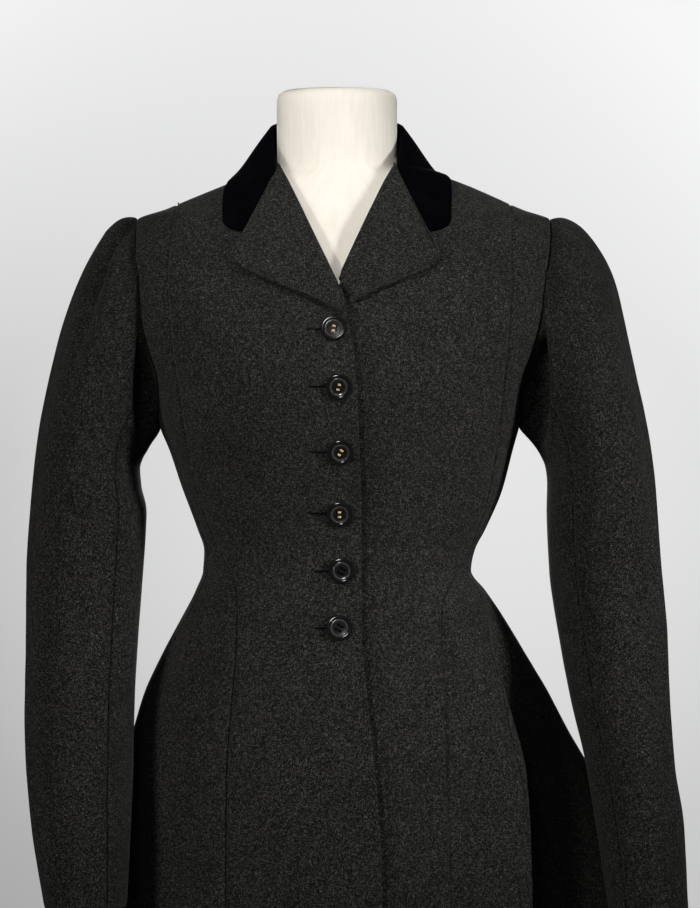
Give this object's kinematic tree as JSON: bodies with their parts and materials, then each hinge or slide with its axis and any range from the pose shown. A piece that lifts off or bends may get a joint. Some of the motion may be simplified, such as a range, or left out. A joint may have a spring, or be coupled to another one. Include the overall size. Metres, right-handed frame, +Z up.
{
  "type": "riding habit jacket on a limbless dress form with a pole and round base",
  "caption": "Fitted wool riding habit jacket with velvet collar, gathered sleeve heads and flared skirt, worn by a limbless dress form on a pole stand.",
  "frame": {"origin": "centre of the round base's underside, on the floor", "axes": "+Z up, -Y out of the jacket's front, +X towards the wearer's left side"},
  "size_m": [0.5789, 0.3408, 1.3855],
  "materials": {
    "wool": "matt flecked wool",
    "velvet": "cut pile",
    "button": "polished",
    "form_cloth": "plain cotton",
    "stand_metal": "satin"
  },
  "bodies": {
    "root": {"back_left": "wool", "back_right": "wool", "front_left": "wool", "front_right": "wool", "lapel_left": "wool", "lapel_right": "wool", "side_back_left": "wool", "side_back_right": "wool", "side_front_left": "wool", "side_front_right": "wool", "top_sleeve_left": "wool", "top_sleeve_right": "wool", "under_sleeve_left": "wool", "under_sleeve_right": "wool", "underarm_left": "wool", "underarm_right": "wool", "collar_fall": "velvet", "collar_stand": "velvet", "button_1": "button", "button_2": "button", "button_3": "button", "button_4": "button", "button_5": "button", "button_6": "button", "form": "form_cloth", "pole": "stand_metal", "base": "stand_metal"}
  },
  "joints": []
}
